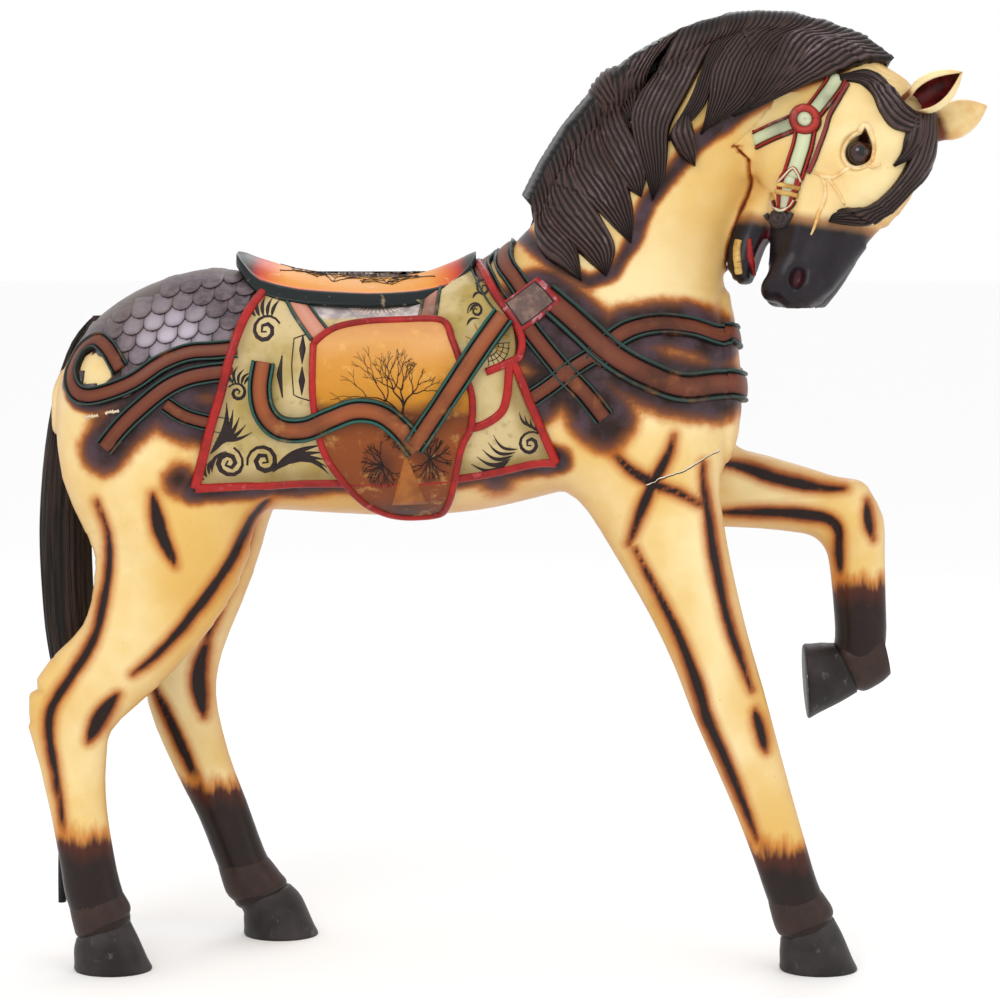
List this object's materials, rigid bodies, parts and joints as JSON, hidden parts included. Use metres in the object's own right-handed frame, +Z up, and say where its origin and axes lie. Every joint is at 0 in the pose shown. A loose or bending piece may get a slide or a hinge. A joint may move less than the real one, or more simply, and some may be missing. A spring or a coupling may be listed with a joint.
{
  "type": "carousel horse",
  "caption": "Carved and painted wooden carousel horse standing on its hooves, one fore leg raised, with carved saddlery, glass eyes and a horsehair tail.",
  "frame": {"origin": "on the floor under the three standing hooves, at the middle of the horse's length and width", "axes": "+Z up, +X towards the chest and head, +Y towards the horse's left side, where the raised fore leg is"},
  "size_m": [1.2263, 0.3384, 1.2295],
  "materials": {
    "painted_wood": "satin antiqued paint and varnish: cream body, dark brown burnt grooves, carved harness in brown, green and red",
    "eye_glass": "polished dark brown glass",
    "tail_hair": "loose black horsehair"
  },
  "bodies": {
    "root": {"carved_horse": "painted_wood", "right_glass_eye": "eye_glass", "left_glass_eye": "eye_glass", "horsehair_tail": "tail_hair"}
  },
  "joints": []
}
